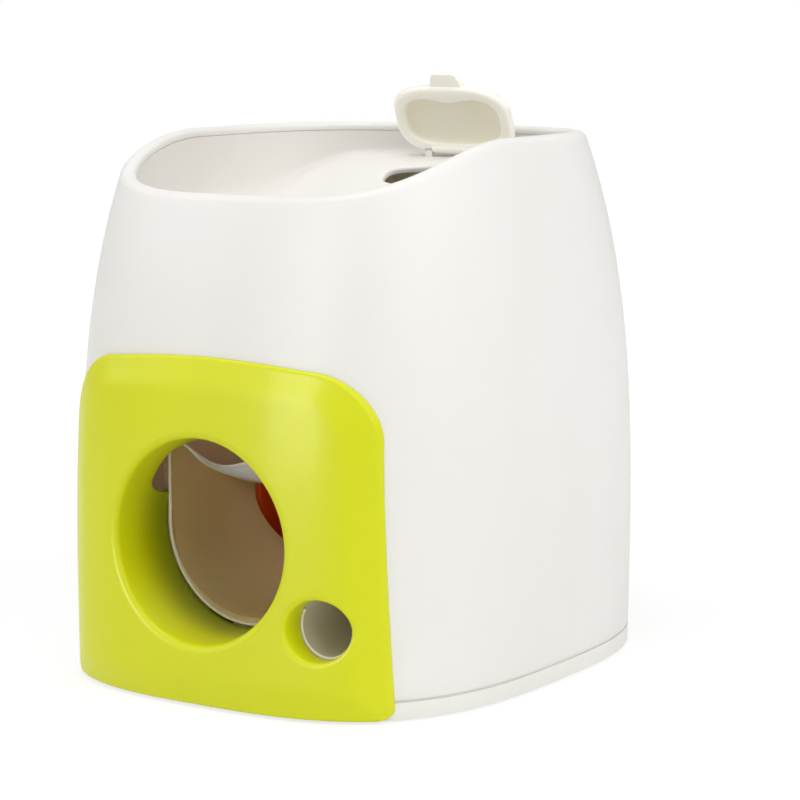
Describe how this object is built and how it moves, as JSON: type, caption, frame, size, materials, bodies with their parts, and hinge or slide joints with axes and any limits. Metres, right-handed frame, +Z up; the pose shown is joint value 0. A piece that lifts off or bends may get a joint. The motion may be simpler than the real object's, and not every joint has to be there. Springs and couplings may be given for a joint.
{
  "type": "dog ball launcher",
  "caption": "Free-standing ball drop and treat dispenser for dogs, with an open hopper, a flip-up treat lid and two front outlets.",
  "frame": {"origin": "On the ground, in the middle of the overall footprint in X and Y.", "axes": "+Z up, -Y the front with the ball outlet, +X the right side as seen from the front."},
  "size_m": [0.1756, 0.2096, 0.2192],
  "materials": {
    "white_body": "satin injection-moulded plastic",
    "warm_white_bowl": "satin injection-moulded plastic",
    "cream_plastic": "smooth moulded plastic",
    "lime_panel": "glossy moulded plastic",
    "orange_plastic": "glossy moulded plastic",
    "bush_plastic": "self-lubricating plastic",
    "grey_rubber": "soft moulded rubber",
    "steel": "plated steel"
  },
  "bodies": {
    "housing": {"housing_shell": "white_body", "base_plate": "white_body", "rubber_feet": "grey_rubber", "front_panel": "lime_panel", "hopper_bowl": "warm_white_bowl", "lid_hinge_pin": "steel", "treat_bin": "cream_plastic", "ball_chute": "cream_plastic", "treat_chute": "cream_plastic", "left_bush": "bush_plastic", "right_bush": "bush_plastic", "drum_case": "cream_plastic", "drum_case_cover": "cream_plastic", "treat_wiper": "grey_rubber", "base_screws": "steel", "chute_screws": "steel", "bowl_screws": "steel", "bin_screws": "steel", "panel_screws": "steel", "case_screws": "steel"},
    "lid": {"treat_lid": "cream_plastic"},
    "wheel": {"paddle_wheel": "orange_plastic", "wheel_shaft": "steel", "wheel_drive_pin": "steel", "shaft_clips": "steel", "metering_drum": "orange_plastic"}
  },
  "joints": [
    {"name": "lid_hinge", "type": "hinge", "parent": "housing", "child": "lid", "pos_m": [0, 0.0703, 0.1882], "axis": [1, 0, 0], "range_deg": [-10, 93]},
    {"name": "wheel_spin", "type": "hinge", "parent": "housing", "child": "wheel", "pos_m": [0, 0.0168, 0.062], "axis": [1, 0, 0], "continuous": true}
  ]
}
